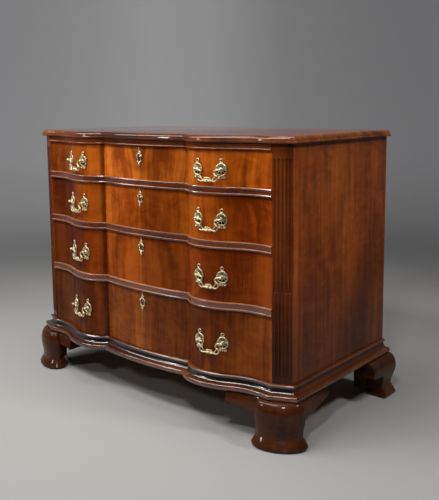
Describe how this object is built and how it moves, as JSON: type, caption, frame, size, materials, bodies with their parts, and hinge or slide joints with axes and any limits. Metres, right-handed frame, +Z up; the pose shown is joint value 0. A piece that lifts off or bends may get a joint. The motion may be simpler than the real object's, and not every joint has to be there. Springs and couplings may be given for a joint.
{
  "type": "chest of drawers",
  "caption": "Mahogany chest with a bowed and creased front, graduated locking drawers on bail handles, fluted canted corners and ogee bracket feet.",
  "frame": {"origin": "middle of the footprint, on the floor", "axes": "+X to the chest's right as seen from the front, +Y to the back, +Z up"},
  "size_m": [1.178, 0.609, 0.858],
  "materials": {
    "case_mahogany": "french polish",
    "drawer_mahogany": "french polish",
    "drawer_oak": "bare, planed",
    "carcass_pine": "bare, sawn",
    "brass": "polished with dark recesses",
    "lock_steel": "dull"
  },
  "bodies": {
    "carcass": {"back_boards": "carcass_pine", "base_moulding_front": "case_mahogany", "base_moulding_sides": "case_mahogany", "bottom_board": "carcass_pine", "bottom_rail": "case_mahogany", "corner_column_left": "case_mahogany", "corner_column_right": "case_mahogany", "drawer_rail_1": "case_mahogany", "drawer_rail_2": "case_mahogany", "drawer_rail_3": "case_mahogany", "drawer_runners": "carcass_pine", "foot_blocks": "carcass_pine", "front_foot_left": "case_mahogany", "front_foot_right": "case_mahogany", "rear_foot_left": "case_mahogany", "rear_foot_right": "case_mahogany", "side_panel_left": "case_mahogany", "side_panel_right": "case_mahogany", "top_board": "case_mahogany", "top_rail": "case_mahogany"},
    "drawer_1": {"drawer_1_front": "drawer_mahogany", "drawer_1_side_left": "drawer_oak", "drawer_1_side_right": "drawer_oak", "drawer_1_back": "drawer_oak", "drawer_1_bottom": "drawer_oak", "drawer_1_escutcheon": "brass", "drawer_1_lock": "lock_steel", "drawer_1_handle_mounts": "brass"},
    "drawer_1_bail_right": {"drawer_1_bail_right": "brass"},
    "drawer_1_bail_left": {"drawer_1_bail_left": "brass"},
    "drawer_2": {"drawer_2_front": "drawer_mahogany", "drawer_2_side_left": "drawer_oak", "drawer_2_side_right": "drawer_oak", "drawer_2_back": "drawer_oak", "drawer_2_bottom": "drawer_oak", "drawer_2_escutcheon": "brass", "drawer_2_lock": "lock_steel", "drawer_2_handle_mounts": "brass"},
    "drawer_2_bail_right": {"drawer_2_bail_right": "brass"},
    "drawer_2_bail_left": {"drawer_2_bail_left": "brass"},
    "drawer_3": {"drawer_3_front": "drawer_mahogany", "drawer_3_side_left": "drawer_oak", "drawer_3_side_right": "drawer_oak", "drawer_3_back": "drawer_oak", "drawer_3_bottom": "drawer_oak", "drawer_3_escutcheon": "brass", "drawer_3_lock": "lock_steel", "drawer_3_handle_mounts": "brass"},
    "drawer_3_bail_right": {"drawer_3_bail_right": "brass"},
    "drawer_3_bail_left": {"drawer_3_bail_left": "brass"},
    "drawer_4": {"drawer_4_front": "drawer_mahogany", "drawer_4_side_left": "drawer_oak", "drawer_4_side_right": "drawer_oak", "drawer_4_back": "drawer_oak", "drawer_4_bottom": "drawer_oak", "drawer_4_escutcheon": "brass", "drawer_4_lock": "lock_steel", "drawer_4_handle_mounts": "brass"},
    "drawer_4_bail_right": {"drawer_4_bail_right": "brass"},
    "drawer_4_bail_left": {"drawer_4_bail_left": "brass"}
  },
  "joints": [
    {"name": "drawer_1_slide", "type": "slide", "parent": "carcass", "child": "drawer_1", "axis": [0, -1, 0], "range_m": [0, 0.38]},
    {"name": "drawer_1_bail_right_swing", "type": "hinge", "parent": "drawer_1", "child": "drawer_1_bail_right", "pos_m": [0.2952, -0.28155, 0.7624], "axis": [-0.9859, -0.1674, 0], "range_deg": [-5, 110]},
    {"name": "drawer_1_bail_left_swing", "type": "hinge", "parent": "drawer_1", "child": "drawer_1_bail_left", "pos_m": [-0.2952, -0.28155, 0.7624], "axis": [-0.9859, 0.1674, 0], "range_deg": [-5, 110]},
    {"name": "drawer_2_slide", "type": "slide", "parent": "carcass", "child": "drawer_2", "axis": [0, -1, 0], "range_m": [0, 0.38]},
    {"name": "drawer_2_bail_right_swing", "type": "hinge", "parent": "drawer_2", "child": "drawer_2_bail_right", "pos_m": [0.2952, -0.28155, 0.6224], "axis": [-0.9859, -0.1674, 0], "range_deg": [-5, 110]},
    {"name": "drawer_2_bail_left_swing", "type": "hinge", "parent": "drawer_2", "child": "drawer_2_bail_left", "pos_m": [-0.2952, -0.28155, 0.6224], "axis": [-0.9859, 0.1674, 0], "range_deg": [-5, 110]},
    {"name": "drawer_3_slide", "type": "slide", "parent": "carcass", "child": "drawer_3", "axis": [0, -1, 0], "range_m": [0, 0.38]},
    {"name": "drawer_3_bail_right_swing", "type": "hinge", "parent": "drawer_3", "child": "drawer_3_bail_right", "pos_m": [0.2952, -0.28155, 0.4574], "axis": [-0.9859, -0.1674, 0], "range_deg": [-5, 110]},
    {"name": "drawer_3_bail_left_swing", "type": "hinge", "parent": "drawer_3", "child": "drawer_3_bail_left", "pos_m": [-0.2952, -0.28155, 0.4574], "axis": [-0.9859, 0.1674, 0], "range_deg": [-5, 110]},
    {"name": "drawer_4_slide", "type": "slide", "parent": "carcass", "child": "drawer_4", "axis": [0, -1, 0], "range_m": [0, 0.38]},
    {"name": "drawer_4_bail_right_swing", "type": "hinge", "parent": "drawer_4", "child": "drawer_4_bail_right", "pos_m": [0.2952, -0.28155, 0.2644], "axis": [-0.9859, -0.1674, 0], "range_deg": [-5, 110]},
    {"name": "drawer_4_bail_left_swing", "type": "hinge", "parent": "drawer_4", "child": "drawer_4_bail_left", "pos_m": [-0.2952, -0.28155, 0.2644], "axis": [-0.9859, 0.1674, 0], "range_deg": [-5, 110]}
  ]
}
